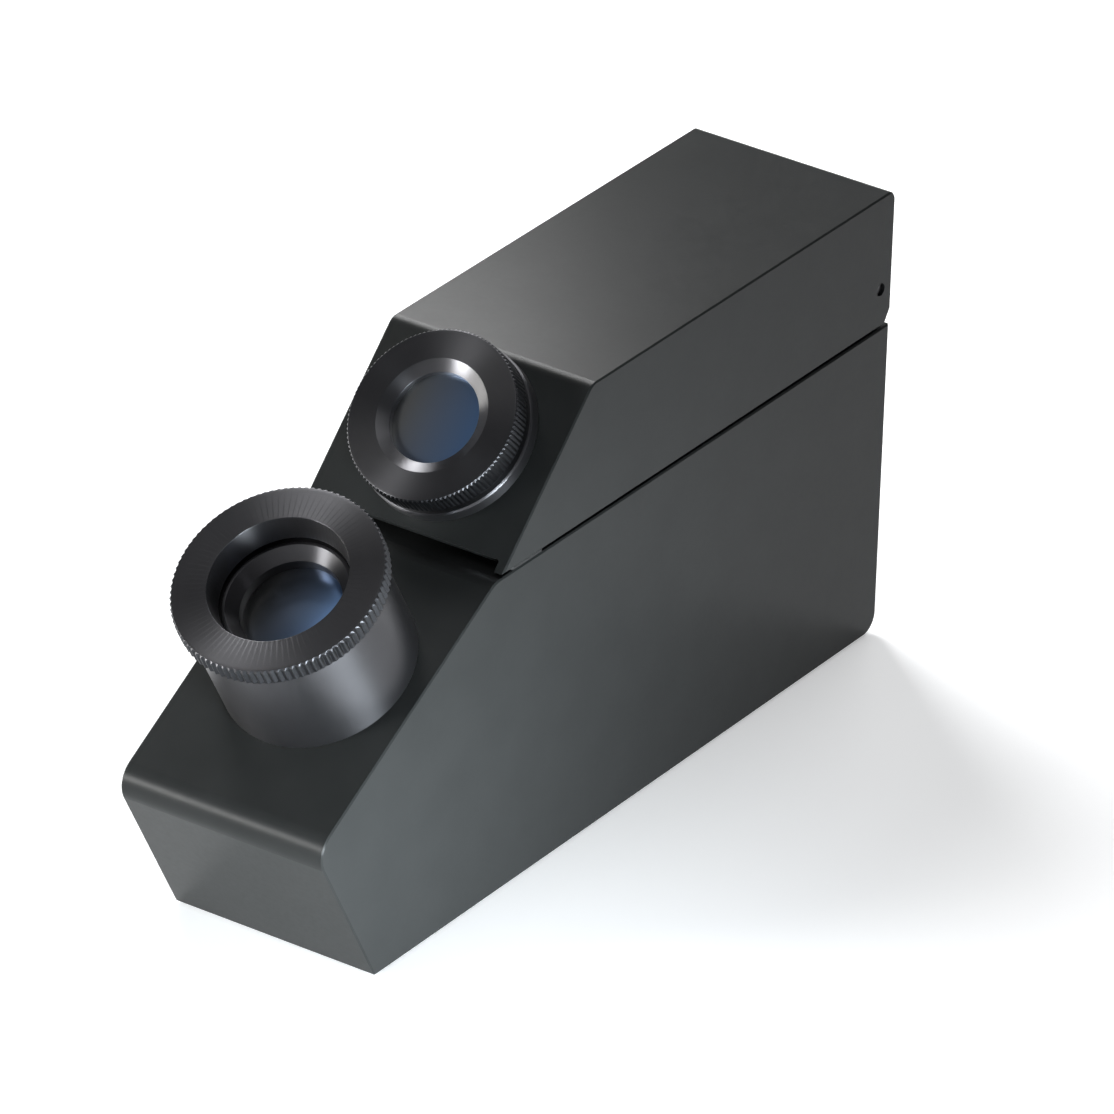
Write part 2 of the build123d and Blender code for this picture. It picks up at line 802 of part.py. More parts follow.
# Lid shell: side walls, top, slanted front with the finger notch, and a back wall cut clear of the hinge
with BuildPart() as lid_shell:
    with BuildSketch(side) as lid_outer:
        add(lid_outline())
        with BuildLine():
            Polyline(
                (lid_back - lid_heel_run, lid_low),
                (lid_back, lid_low + lid_heel_rise),
                (lid_back + 1, lid_low - 1),
                close=True,
            )
        make_face(mode=Mode.SUBTRACT)
    extrude(amount=width / 2, both=True)
    chamfer(lid_shell.faces().filter_by(Axis.X).edges(), length=edge_break)
    with BuildSketch(side):
        add(lid_outline(drop=3 * lid_wall))
        offset(amount=-lid_wall)
    extrude(amount=lid_inside_x, both=True, mode=Mode.SUBTRACT)
    with BuildSketch(side):
        with Locations((lid_back - lid_wall - 1, pin_z + back_wall_lift)):
            Rectangle(2 * lid_wall + 2, lid_height, align=(Align.MIN, Align.MAX))
    extrude(amount=lid_inside_x, both=True, mode=Mode.SUBTRACT)
    with BuildSketch(lid_face):
        RectangleRounded(2 * lid_inside_x, 2 * notch_height, notch_radius)
    extrude(amount=2 * lid_wall, both=True, mode=Mode.SUBTRACT)
    tube(filter_axis, 0, stub_spigot_radius + seat_gap, -2 * lid_wall, lid_wall, mode=Mode.SUBTRACT)
    with BuildSketch(side):
        with Locations((pin_y, pin_z)):
            Circle(pin_radius + pin_gap)
    extrude(amount=width, both=True, mode=Mode.SUBTRACT)

with BuildPart() as lid_bumpers:
    with BuildSketch(Plane(origin=(0, bumper_y - middle_y, lid_low + foot_proud), z_dir=(0, 0, -1))):
        for x in (-1, 1):
            with Locations((x * (width / 2 - lid_wall / 2), 0)):
                SlotOverall(bumper_length, bumper_width, rotation=90)
    extrude(amount=lid_gap - bumper_gap)

# Hinge block on the rear edge of the housing, its screws and the two hinge pins
with BuildPart() as hinge_block:
    with BuildSketch(side):
        with Locations((pin_y, pin_z)):
            Circle(hinge_block_radius)
        with Locations((pin_y - hinge_block_radius, base_height)):
            Rectangle(hinge_block_radius + hinge_block_back, pin_height, align=Align.MIN)
        with Locations((pin_y + hinge_block_back, pin_z)):
            Rectangle(pin_height, 2 * pin_height, align=(Align.MIN, Align.MAX), mode=Mode.SUBTRACT)
        with Locations((pin_y, base_height)):
            Rectangle(4 * pin_height, pin_height, align=(Align.CENTER, Align.MAX), mode=Mode.SUBTRACT)
    extrude(amount=lid_inside_x - hinge_side_gap, both=True)
    with BuildSketch(side):
        with Locations((pin_y, pin_z)):
            Circle(pin_radius)
    extrude(amount=width, both=True, mode=Mode.SUBTRACT)
    for place in hinge_screws_at:
        screw_hole(place, m3_head, m3_head_height, m3_shank, hinge_screw_length)

with BuildPart() as hinge_screws:
    for place in hinge_screws_at:
        screw(place, m3_head, m3_head_height, m3_shank, hinge_screw_length)

with BuildPart() as hinge_pins:
    for sign in (-1, 1):
        pin_start = lid_inside_x - hinge_side_gap - pin_engagement
        pin_end = width / 2 - pin_recess
        with BuildSketch(side.offset(sign * pin_start)):
            with Locations((pin_y, pin_z)):
                Circle(pin_radius)
        extrude(amount=sign * (pin_end - pin_start))

# Filter stub on the lid's slanted face, with the nut inside the lid
with BuildPart() as filter_stub:
    turn(
        filter_axis,
        (0, stub_height),
        (stub_radius - edge_break, stub_height),
        (stub_radius, stub_height - edge_break),
        (stub_radius, 0),
        (stub_spigot_radius, 0),
        (stub_spigot_radius, -stub_spigot_length),
        (0, -stub_spigot_length),
    )

with BuildPart() as stub_nut:
    with BuildSketch(across(filter_axis).offset(-lid_wall - stub_nut_height)):
        RegularPolygon(radius=stub_nut_radius, side_count=6)
        Circle(stub_spigot_radius + seat_gap, mode=Mode.SUBTRACT)
    extrude(amount=stub_nut_height)

# Filter: the collar sits on the stub, and the knurled ring with the glass turns on the collar's neck
snap_low = snap_height
snap_high = snap_height + snap_thickness
with BuildPart() as filter_collar:
    turn(
        filter_axis,
        (stub_radius + running_gap, collar_lift),
        (collar_radius - rim_chamfer, collar_lift),
        (collar_radius, collar_lift + rim_chamfer),
        (collar_radius, collar_height - rim_chamfer),
        (collar_radius - rim_chamfer, collar_height),
        (neck_radius, collar_height),
        (neck_radius, snap_low),
        (neck_radius - snap_in, snap_low),
        (neck_radius - snap_in, snap_high),
        (neck_radius, snap_high),
        (neck_radius, neck_height),
        (stub_radius + running_gap, neck_height),
    )

with BuildPart() as snap_ring:
    tube(filter_axis, neck_radius - snap_in, neck_radius + snap_out, snap_low, snap_high)

with BuildPart() as filter_ring:
    ring_bore = neck_radius + running_gap
    snap_groove = neck_radius + snap_out + running_gap
    turn(
        filter_axis,
        (cap_mouth, cap_high),
        (cap_throat, cap_cone_low),
        (cap_throat, glass_high),
        (glass_radius + seat_gap, glass_high),
        (glass_radius + seat_gap, hub_low),
        (hub_radius, hub_low),
        (hub_radius, cap_roof),
        (ring_bore, cap_roof),
        (ring_bore, snap_high + running_gap),
        (snap_groove, snap_high + running_gap),
        (snap_groove, snap_low - running_gap),
        (ring_bore, snap_low - running_gap),
        (ring_bore, cap_low),
        (cap_radius - rim_chamfer, cap_low),
        (cap_radius, cap_low + rim_chamfer),
        (cap_radius, cap_high - rim_chamfer),
        (cap_radius - rim_chamfer, cap_high),
    )
    knurl(filter_axis, cap_radius, cap_low, cap_high, cap_teeth, cap_tooth_depth)

with BuildPart() as polariser_glass:
    tube(filter_axis, 0, glass_radius, glass_high - glass_thickness, glass_high)

with BuildPart() as glass_retainer:
    tube(filter_axis, glass_radius - glass_ring_wall, glass_radius, hub_low, glass_high - glass_thickness)

pieces = {
    "base_housing": base_housing,
    "bottom_plate": bottom_plate,
    "bottom_screws": bottom_screws,
    "rubber_feet": rubber_feet,
    "stage_plate": stage_plate,
    "stage_screws": stage_screws,
    "measuring_prism": measuring_prism,
    "prism_cell": prism_cell,
    "eyepiece_barrel": eyepiece_barrel,
    "barrel_lock_ring": barrel_lock_ring,
    "scale_glass": scale_glass,
    "scale_retaining_ring": scale_retaining_ring,
    "ring_retaining_screw": ring_retaining_screw,
    "focus_key_screw": focus_key_screw,
    "focus_ring": focus_ring,
    "lens_cell": lens_cell,
    "eye_lens": eye_lens,
    "eye_lens_retainer": eye_lens_retainer,
    "field_lens": field_lens,
    "field_lens_retainer": field_lens_retainer,
    "optics_rail": optics_rail,
    "rail_screws": rail_screws,
    "mirror_bracket": mirror_bracket,
    "mirror": mirror,
    "lens_holder": lens_holder,
    "objective_lens": objective_lens,
    "objective_retaining_ring": objective_retaining_ring,
    "light_port_ring": light_port_ring,
    "frosted_window": frosted_window,
    "yellow_filter": yellow_filter,
    "window_retaining_ring": window_retaining_ring,
    "port_nut": port_nut,
    "lid_shell": lid_shell,
    "lid_bumpers": lid_bumpers,
    "hinge_block": hinge_block,
    "hinge_screws": hinge_screws,
    "hinge_pins": hinge_pins,
    "filter_stub": filter_stub,
    "stub_nut": stub_nut,
    "filter_collar": filter_collar,
    "snap_ring": snap_ring,
    "filter_ring": filter_ring,
    "polariser_glass": polariser_glass,
    "glass_retainer": glass_retainer,
}

os.makedirs("parts", exist_ok=True)
for name, piece in pieces.items():
    piece.part.label = name
    export_step(piece.part, f"parts/{name}.step")


def frame_point(y, z):
    """A point of the side view, in metres of the part's own frame."""
    return round((y - middle_y) / 1000, 6), round((z + foot_proud) / 1000, 6)


print("eyepiece foot", frame_point(eye_y, eye_z), "axis", round(out_y, 6), round(out_z, 6))
print("filter foot", frame_point(filter_y, filter_z), "axis", round(lid_out_y, 6), round(lid_out_z, 6))
print("hinge pin", frame_point(pin_y, pin_z))
print("light port", frame_point(base_length, port_height))
print("front foot", foot_x / 1000, frame_point(foot_front_y, -foot_proud))
print("stage centre", frame_point(stage_y, base_height))
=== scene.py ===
import json
import math

import bpy
import bmesh
from mathutils import Matrix, Vector


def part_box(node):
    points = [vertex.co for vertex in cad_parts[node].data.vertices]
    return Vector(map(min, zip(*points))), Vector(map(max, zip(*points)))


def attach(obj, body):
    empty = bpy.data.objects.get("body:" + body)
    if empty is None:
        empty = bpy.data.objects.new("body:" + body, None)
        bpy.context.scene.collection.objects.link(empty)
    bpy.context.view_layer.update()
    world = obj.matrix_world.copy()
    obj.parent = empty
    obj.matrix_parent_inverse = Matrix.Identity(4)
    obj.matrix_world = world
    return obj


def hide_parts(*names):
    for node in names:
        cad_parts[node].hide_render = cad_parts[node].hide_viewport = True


# Looks of a gem refractometer: satin grey housing and lid, black anodised eyepiece and filter, coated glass whose
# change from grey to blue across it is a painted reflection.
# Turned pieces are drawn as outlines of (radius, height) in millimetres above the face that carries them.

MM = 0.001

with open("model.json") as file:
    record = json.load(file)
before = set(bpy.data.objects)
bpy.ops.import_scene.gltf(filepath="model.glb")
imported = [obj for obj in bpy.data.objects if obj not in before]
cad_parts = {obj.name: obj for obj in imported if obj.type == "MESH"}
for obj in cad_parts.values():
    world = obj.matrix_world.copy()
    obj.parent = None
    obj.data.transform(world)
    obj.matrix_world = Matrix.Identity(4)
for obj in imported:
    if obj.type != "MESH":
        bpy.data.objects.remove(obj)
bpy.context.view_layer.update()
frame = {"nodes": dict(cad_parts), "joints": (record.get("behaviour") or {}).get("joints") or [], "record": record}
scene = bpy.context.scene
scene.view_settings.view_transform = "Standard"
joints = {joint["name"]: joint for joint in frame["joints"]}
body_of = {node: body for body, nodes in frame["record"]["behaviour"]["bodies"].items() for node in nodes}
slot_of = {part["node"]: part["material_slot"] for part in frame["record"]["subparts"]}

# Camera
CAMERA_AIM = (0.022281, -0.018348, 0.063243)
CAMERA_DISTANCE = 2.0254
CAMERA_AZIMUTH, CAMERA_ELEVATION, CAMERA_ROLL = 33.77, 28.24, 1.81
CAMERA_LENS = 358.1
SENSOR = 36.0

# Eyepiece
BARREL_RADIUS, BARREL_HEIGHT, BARREL_BORE, BARREL_FLOOR, BARREL_GUIDE = 18.8, 22.5, 15.2, 4.0, 11.0
SPIGOT_RADIUS, SPIGOT_LENGTH, SCALE_SEAT, SCALE_LIP = 14.0, 9.5, 1.2, 1.2
SCREW_HEIGHTS, SCREW_HOLE = (7.0, 17.0), 1.02
RING_RADIUS, RING_LOW, RING_TOP = 20.4, 22.7, 26.5
RING_MOUTH, RING_THROAT, RING_CONE = 13.5, 12.6, 5.2
RING_THREAD, SLEEVE_RADIUS, SLEEVE_LOW = 13.4, 15.15, 12.0
GROOVE_LOW, GROOVE_HIGH, GROOVE_DEPTH = 15.95, 18.05, 0.8
RING_TEETH, RING_TOOTH = 96, 0.45
RIM_CHAMFER, FACE_LOOP = 0.35, 0.6
LENS_RADIUS, LENS_CLEAR, LENS_LOW, LENS_HIGH, LENS_BULGE = 10.5, 9.58, 13.2, 15.9, 1.0
RETAINER_RADIUS, RETAINER_TOP, CELL_STEP = 12.38, 20.4, 17.32
CONE_MOUTH, CONE_THROAT, CONE_LOW = 11.8, 9.7, 18.1

# Filter
COLLAR_BORE, COLLAR_RADIUS, COLLAR_LOW, COLLAR_HIGH = 12.05, 17.3, 0.05, 3.3
NECK_RADIUS, NECK_HIGH = 15.5, 7.0
SNAP_LOW, SNAP_HIGH, SNAP_IN, SNAP_OUT = 5.2, 5.8, 0.5, 15.95
CAP_RADIUS, CAP_LOW, CAP_HIGH, CAP_ROOF, CAP_BORE = 17.0, 4.6, 9.4, 7.25, 15.55
CAP_MOUTH, CAP_THROAT, CAP_CONE_LOW = 11.2, 8.9, 8.2
CAP_TEETH, CAP_TOOTH, CAP_KNURL_LAND = 116, 0.3, 0.5
HUB_RADIUS, HUB_LOW = 11.7, 4.7
GLASS_RADIUS, GLASS_SEAT, GLASS_LOW, GLASS_HIGH = 10.1, 10.12, 5.5, 6.9
RUNNING_GAP = 0.05

# Rear light port
PORT_BORE, PORT_FLANGE, PORT_RADIUS, PORT_SEAT = 7.5, 11.0, 9.0, 8.3
PORT_FLANGE_THICKNESS, PORT_LENGTH, PORT_BORE_LENGTH = 1.2, 10.0, 3.0

# Where a tooth's outline is sampled, from one crest over the groove to the next, and how deep it is there
TOOTH_OUTLINE = ((-1.0, 0.0), (-0.86, 0.02), (-0.72, 0.12), (-0.07, 0.96), (0.07, 0.96), (0.72, 0.12), (0.86, 0.02))

ROUND, HOLE_STEPS = 256, 48
SHARP_ANGLE = math.radians(36)
FLAT_ANGLE = math.radians(88)
LONGEST_ROUNDING = 0.45

# Noise scales of the materials, in cells per metre
PAINT_TONE, PAINT_GLOSS, PAINT_GRAIN = 90, 900, 2600
TURNED_TONE, TURNED_MARKS = 160, 5200
METAL_TONE, METAL_GLOSS, METAL_SCRATCHES = 220, 1400, 3200
GLASS_TONE, GLASS_GLOSS = 60, 700
RUBBER_TONE, RUBBER_GLOSS, RUBBER_PEBBLES = 400, 1500, 2200
FLOOR_TONE = 4


def tree_of(name):
    """A new node material: its tree, its shader and its object coordinates."""
    material = bpy.data.materials.new(name)
    material.use_nodes = True
    tree = material.node_tree
    place = tree.nodes.new("ShaderNodeTexCoord").outputs["Object"]
    return material, tree, tree.nodes["Principled BSDF"], place


def noise(tree, place, scale, detail=3.0, roughness=0.55):
    """A noise value between 0 and 1 over the surface; scale is in cells per metre."""
    made = tree.nodes.new("ShaderNodeTexNoise")
    made.inputs["Scale"].default_value = scale
    made.inputs["Detail"].default_value = detail
    made.inputs["Roughness"].default_value = roughness
    tree.links.new(place, made.inputs["Vector"])
    return made.outputs["Fac"]


def spread(tree, value, low, high, start=0.3, end=0.7):
    """Maps a noise value on to the range from low to high."""
    made = tree.nodes.new("ShaderNodeMapRange")
    for name, number in (("From Min", start), ("From Max", end), ("To Min", low), ("To Max", high)):
        made.inputs[name].default_value = number
    tree.links.new(value, made.inputs["Value"])
    return made.outputs["Result"]


def blend_colours(tree, value, first, second):
    """The colour between two, by a value."""
    made = tree.nodes.new("ShaderNodeMix")
    made.data_type = "RGBA"
    made.inputs[6].default_value = (*first, 1)
    made.inputs[7].default_value = (*second, 1)
    tree.links.new(value, made.inputs["Factor"])
    return made.outputs[2]


def bump(tree, shader, height, distance, strength=1.0):
    """Bump from a height value; distance is the height of one unit, in metres."""
    made = tree.nodes.new("ShaderNodeBump")
    made.inputs["Strength"].default_value = strength
    made.inputs["Distance"].default_value = distance
    tree.links.new(height, made.inputs["Height"])
    tree.links.new(made.outputs["Normal"], shader.inputs["Normal"])
    return made


def radius_and_height(tree, place):
    """The distance from a turned piece's own Z axis plus the height, so that marks run round every face of it."""
    parts = tree.nodes.new("ShaderNodeSeparateXYZ")
    tree.links.new(place, parts.inputs[0])
    flat = tree.nodes.new("ShaderNodeCombineXYZ")
    tree.links.new(parts.outputs["X"], flat.inputs["X"])
    tree.links.new(parts.outputs["Y"], flat.inputs["Y"])
    length = tree.nodes.new("ShaderNodeVectorMath")
    length.operation = "LENGTH"
    tree.links.new(flat.outputs[0], length.inputs[0])
    total = tree.nodes.new("ShaderNodeMath")
    total.operation = "ADD"
    tree.links.new(length.outputs["Value"], total.inputs[0])
    tree.links.new(parts.outputs["Z"], total.inputs[1])
    return total.outputs[0]


def paint(name, dark, light, roughness, grain):
    """Satin paint with a fine grain and a little variation in tone and gloss."""
    material, tree, shader, place = tree_of(name)
    tree.links.new(
        blend_colours(tree, spread(tree, noise(tree, place, PAINT_TONE), 0, 1), dark, light),
        shader.inputs["Base Color"],
    )
    tree.links.new(
        spread(tree, noise(tree, place, PAINT_GLOSS), roughness - 0.03, roughness + 0.03), shader.inputs["Roughness"]
    )
    shader.inputs["Specular IOR Level"].default_value = 0.12
    bump(tree, shader, noise(tree, place, PAINT_GRAIN, detail=2.0), grain)
    return material


def turned_metal(name, dark, light, roughness, anisotropy, marks):
    """Anodised metal from the lathe: fine marks round the axis stretch its highlights into fans."""
    material, tree, shader, place = tree_of(name)
    run = radius_and_height(tree, place)
    mark = tree.nodes.new("ShaderNodeTexNoise")
    mark.noise_dimensions = "1D"
    mark.inputs["Scale"].default_value = TURNED_MARKS
    mark.inputs["Detail"].default_value = 4.0
    tree.links.new(run, mark.inputs["W"])
    tree.links.new(
        blend_colours(tree, spread(tree, noise(tree, place, TURNED_TONE), 0, 1), dark, light),
        shader.inputs["Base Color"],
    )
    tree.links.new(
        spread(tree, mark.outputs["Fac"], roughness - 0.015, roughness + 0.015), shader.inputs["Roughness"]
    )
    shader.inputs["Metallic"].default_value = 0.9
    shader.inputs["Anisotropic"].default_value = anisotropy
    shader.inputs["Anisotropic Rotation"].default_value = 0.25
    tangent = tree.nodes.new("ShaderNodeTangent")
    tangent.direction_type = "RADIAL"
    tangent.axis = "Z"
    tree.links.new(tangent.outputs[0], shader.inputs["Tangent"])
    bump(tree, shader, mark.outputs["Fac"], marks)
    return material


def plain_metal(name, dark, light, roughness, metallic=1.0):
    """Sheet or turned metal inside the instrument, with fine scratches and uneven gloss."""
    material, tree, shader, place = tree_of(name)
    tree.links.new(
        blend_colours(tree, spread(tree, noise(tree, place, METAL_TONE), 0, 1), dark, light),
        shader.inputs["Base Color"],
    )
    tree.links.new(
        spread(tree, noise(tree, place, METAL_GLOSS), roughness - 0.05, roughness + 0.05), shader.inputs["Roughness"]
    )
    shader.inputs["Metallic"].default_value = metallic
    bump(tree, shader, noise(tree, place, METAL_SCRATCHES), 0.000006)
    return material


def glass(name, first, second, roughness=0.02, clear=1.0, index=1.52):
    """Glass with a faint change of tint across it."""
    material, tree, shader, place = tree_of(name)
    tree.links.new(
        blend_colours(tree, spread(tree, noise(tree, place, GLASS_TONE), 0, 1), first, second),
        shader.inputs["Base Color"],
    )
    tree.links.new(
        spread(tree, noise(tree, place, GLASS_GLOSS), roughness * 0.8, roughness * 1.2), shader.inputs["Roughness"]
    )
    shader.inputs["Transmission Weight"].default_value = clear
    shader.inputs["IOR"].default_value = index
    return material


def coated_glass(name, left, right, edge, roughness):
    """Dark coated glass that mirrors little. Its blue is partly the coating's own tint, and its change from one
    colour to the other across it is a painted reflection.
    """
    material, tree, shader, place = tree_of(name)
    parts = tree.nodes.new("ShaderNodeSeparateXYZ")
    tree.links.new(place, parts.inputs[0])
    # Painted reflection: the colour runs from grey to blue across the glass along its X axis, standing in for the
    # sheen it reflects.
    across = spread(tree, parts.outputs["X"], 0, 1, -edge * MM, edge * MM)
    tree.links.new(blend_colours(tree, across, left, right), shader.inputs["Base Color"])
    shader.inputs["Roughness"].default_value = roughness
    shader.inputs["Metallic"].default_value = 1.0
    return material


def rubber(name, dark, light):
    """Matt rubber with a pebbled surface."""
    material, tree, shader, place = tree_of(name)
    tree.links.new(
        blend_colours(tree, spread(tree, noise(tree, place, RUBBER_TONE), 0, 1), dark, light),
        shader.inputs["Base Color"],
    )
    tree.links.new(spread(tree, noise(tree, place, RUBBER_GLOSS), 0.75, 0.9), shader.inputs["Roughness"])
    bump(tree, shader, noise(tree, place, RUBBER_PEBBLES), 0.00002)
    return material


finishes = {
    "housing_paint": paint("satin_grey_paint", (0.021, 0.0225, 0.0225), (0.024, 0.0255, 0.0255), 0.32, 0.000004),
    "plate_paint": paint("matt_black_paint", (0.02, 0.02, 0.021), (0.026, 0.026, 0.027), 0.5, 0.00002),
    "black_anodised": plain_metal("black_anodised_metal", (0.012, 0.012, 0.014), (0.02, 0.02, 0.022), 0.4, 0.6),
    "bare_aluminium": plain_metal("bare_aluminium_sheet", (0.55, 0.55, 0.56), (0.64, 0.64, 0.65), 0.34),
    "screw_steel": plain_metal("blackened_screw_steel", (0.06, 0.06, 0.065), (0.1, 0.1, 0.105), 0.32),
    "rubber": rubber("black_rubber", (0.014, 0.014, 0.014), (0.022, 0.022, 0.022)),
    # The lens and filter glass get a painted reflection, grey on one side turning blue on the other.
    "coated_glass": coated_glass("coated_lens_glass_painted_reflection", (0.33, 0.34, 0.34), (0.19, 0.33, 0.6), 7, 0.3),
    "prism_glass": glass("dense_prism_glass", (0.98, 0.95, 0.8), (1.0, 0.96, 0.84), index=1.9),
    "scale_glass": glass("engraved_scale_glass", (0.95, 0.97, 0.95), (1.0, 1.0, 0.98)),
    "frosted_glass": glass("ground_glass", (0.92, 0.92, 0.9), (0.97, 0.97, 0.95), roughness=0.5),
    "yellow_glass": glass("yellow_filter_glass", (0.95, 0.6, 0.05), (1.0, 0.68, 0.08)),
    "mirror": plain_metal("silvered_mirror", (0.9, 0.9, 0.92), (0.94, 0.94, 0.95), 0.06),
}
turned_black = turned_metal("turned_black_anodised", (0.09, 0.09, 0.096), (0.097, 0.097, 0.103), 0.3, 0.8, 0.0000004)
knurled_black = plain_metal("knurled_black_anodised", (0.045, 0.047, 0.052), (0.055, 0.057, 0.062), 0.4)

for name, node in frame["nodes"].items():
    node.data.materials.clear()
    node.data.materials.append(finishes[slot_of[name]])


def turned_frame(foot, axis):
    """Where a turned piece stands: Z along its axis, X across the instrument."""
    out = Vector(axis).normalized()
    across = Vector((1, 0, 0))
    placed = Matrix((across, out.cross(across), out)).transposed().to_4x4()
    placed.translation = foot
    return placed


def softened(outline, radius, steps=3):
    """A closed outline with its corners rounded."""
    rounded = []
    for index, corner in enumerate(outline):
        here = Vector(corner)
        before = Vector(outline[index - 1]) - here
        after = Vector(outline[(index + 1) % len(outline)]) - here
        half = before.angle(after) / 2
        if here.x < 1e-6 or half > FLAT_ANGLE:
            rounded.append(tuple(here))
            continue
        reach = min(radius / math.tan(half), LONGEST_ROUNDING * before.length, LONGEST_ROUNDING * after.length)
        start, end = here + before.normalized() * reach, here + after.normalized() * reach
        for step in range(steps + 1):
            t = step / steps
            rounded.append(tuple(start * (1 - t) ** 2 + here * 2 * t * (1 - t) + end * t**2))
    return rounded


def lens_outline(radius, clear_radius, low, high, bulge, steps=16):
    """Half-section of a round lens with a flat rim outside its clear radius and a bulge on each side."""
    face = [(clear_radius * step / steps, bulge * (1 - (step / steps) ** 2)) for step in range(steps + 1)]
    upper = [(across, high + out) for across, out in face]
    lower = [(across, low - out) for across, out in reversed(face)]
    return [*upper, (radius, high), (radius, low), *lower]


def even_turn():
    """Angles round a plain turned piece, each with no groove in it."""
    return [(2 * math.pi * step / ROUND, 0.0) for step in range(ROUND)]


def toothed_turn(teeth, depth):
    """Angles round a knurled piece, each with the depth of its groove there."""
    pitch = 2 * math.pi / teeth
    return [((tooth + 0.5 * at) * pitch, depth * share) for tooth in range(teeth) for at, share in TOOTH_OUTLINE]


def cut_holes(piece, holes):
    """Cuts round holes, given as (centre, direction, radius, length), through a piece."""
    for centre, direction, radius, length in holes:
        built = bmesh.new()
        along = Vector(direction).to_track_quat("Z", "Y").to_matrix().to_4x4()
        place = Matrix.Translation(centre) @ along
        bmesh.ops.create_cone(
            built, cap_ends=True, segments=HOLE_STEPS, radius1=radius, radius2=radius, depth=length, matrix=place
        )
        mesh = bpy.data.meshes.new("cutter")
        built.to_mesh(mesh)
        built.free()
        cutter = bpy.data.objects.new("cutter", mesh)
        scene.collection.objects.link(cutter)
        cutting = piece.modifiers.new("hole", "BOOLEAN")
        cutting.operation = "DIFFERENCE"
        cutting.solver = "EXACT"
        cutting.object = cutter
        bpy.context.view_layer.update()
        cut = bpy.data.meshes.new_from_object(piece.evaluated_get(bpy.context.evaluated_depsgraph_get()))
        piece.modifiers.clear()
        piece.data = cut
        bpy.data.objects.remove(cutter)


def turned(name, outline, placed, material, replaced, turn=None, rim=None, holes=()):
    """A piece made by turning an outline, in place of a CAD node. Where turn has grooves, they cut what lies
    outside the rim's radius less the groove's depth, between its two heights, and the rim's faces are duller."""
    built = bmesh.new()
    rings = []
    for angle, groove in turn or even_turn():
        ring = []
        for radius, height in outline:
            if groove and rim[1] <= height <= rim[2]:
                radius = min(radius, rim[0] - groove)
            across, along = radius * math.cos(angle), radius * math.sin(angle)
            ring.append(built.verts.new((across * MM, along * MM, height * MM)))
        rings.append(ring)
    for step, ring in enumerate(rings):
        following = rings[(step + 1) % len(rings)]
        for point in range(len(outline)):
            after = (point + 1) % len(outline)
            built.faces.new((ring[point], following[point], following[after], ring[after]))
    bmesh.ops.remove_doubles(built, verts=built.verts, dist=1e-7)
    bmesh.ops.dissolve_degenerate(built, edges=built.edges, dist=1e-8)
    bmesh.ops.recalc_face_normals(built, faces=built.faces)
    mesh = bpy.data.meshes.new(name)
    built.to_mesh(mesh)
    built.free()
    piece = bpy.data.objects.new(name, mesh)
    scene.collection.objects.link(piece)
    piece.matrix_world = placed
    cut_holes(piece, holes)
    piece.data.shade_smooth()
    piece.data.set_sharp_from_angle(angle=SHARP_ANGLE)
    piece.data.materials.clear()
    piece.data.materials.append(material)
    if rim:
        piece.data.materials.append(knurled_black)
        for face in piece.data.polygons:
            middle = face.center / MM
            if math.hypot(middle.x, middle.y) > rim[3] and rim[1] < middle.z < rim[2] and abs(face.normal.z) < 0.5:
                face.material_index = 1
    weighted = piece.modifiers.new("face_normals", "WEIGHTED_NORMAL")
    weighted.keep_sharp = True
    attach(piece, body_of[replaced])
    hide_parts(replaced)
    return piece


eye = turned_frame(joints["focus_turn"]["pos_m"], joints["focus_turn"]["axis"])
filter_stand = turned_frame(joints["filter_turn"]["pos_m"], joints["filter_turn"]["axis"])

# Eyepiece: the barrel, the knurled ring, the retainer's cone and the lens
barrel = (
    (BARREL_GUIDE - SCALE_SEAT, -SPIGOT_LENGTH),
    (SPIGOT_RADIUS, -SPIGOT_LENGTH),
    (SPIGOT_RADIUS, 0),
    (BARREL_RADIUS, 0),
    (BARREL_RADIUS, BARREL_HEIGHT),
    (BARREL_BORE, BARREL_HEIGHT),
    (BARREL_BORE, BARREL_FLOOR),
    (BARREL_GUIDE, BARREL_FLOOR),
    (BARREL_GUIDE, SCALE_LIP - SPIGOT_LENGTH),
    (BARREL_GUIDE - SCALE_SEAT, SCALE_LIP - SPIGOT_LENGTH),
)
wall = BARREL_RADIUS - BARREL_GUIDE
screw_holes = [
    ((-(BARREL_RADIUS - wall / 2) * MM, 0, height * MM), (1, 0, 0), SCREW_HOLE * MM, (wall + 1) * MM)
    for height in SCREW_HEIGHTS
]
turned("eyepiece_tube", softened(barrel, 0.15), eye, turned_black, "eyepiece_barrel", holes=screw_holes)

focus_ring = (
    (RING_MOUTH, RING_TOP),
    (RING_THROAT, RING_TOP - RING_CONE),
    (RING_THREAD, RING_TOP - RING_CONE),
    (RING_THREAD, SLEEVE_LOW),
    (SLEEVE_RADIUS, SLEEVE_LOW),
    (SLEEVE_RADIUS, GROOVE_LOW),
    (SLEEVE_RADIUS - GROOVE_DEPTH, GROOVE_LOW),
    (SLEEVE_RADIUS - GROOVE_DEPTH, GROOVE_HIGH),
    (SLEEVE_RADIUS, GROOVE_HIGH),
    (SLEEVE_RADIUS, RING_LOW),
    (RING_RADIUS - RIM_CHAMFER, RING_LOW),
    (RING_RADIUS, RING_LOW + RIM_CHAMFER),
    (RING_RADIUS, RING_TOP - RIM_CHAMFER),
    (RING_RADIUS - RIM_CHAMFER, RING_TOP),
    (RING_RADIUS - RIM_CHAMFER - FACE_LOOP, RING_TOP),
)
turned(
    "knurled_focus_ring",
    softened(focus_ring, 0.1),
    eye,
    turned_black,
    "focus_ring",
    toothed_turn(RING_TEETH, RING_TOOTH),
    (RING_RADIUS, RING_LOW - 0.1, RING_TOP + 0.1, RING_RADIUS - RING_TOOTH),
)

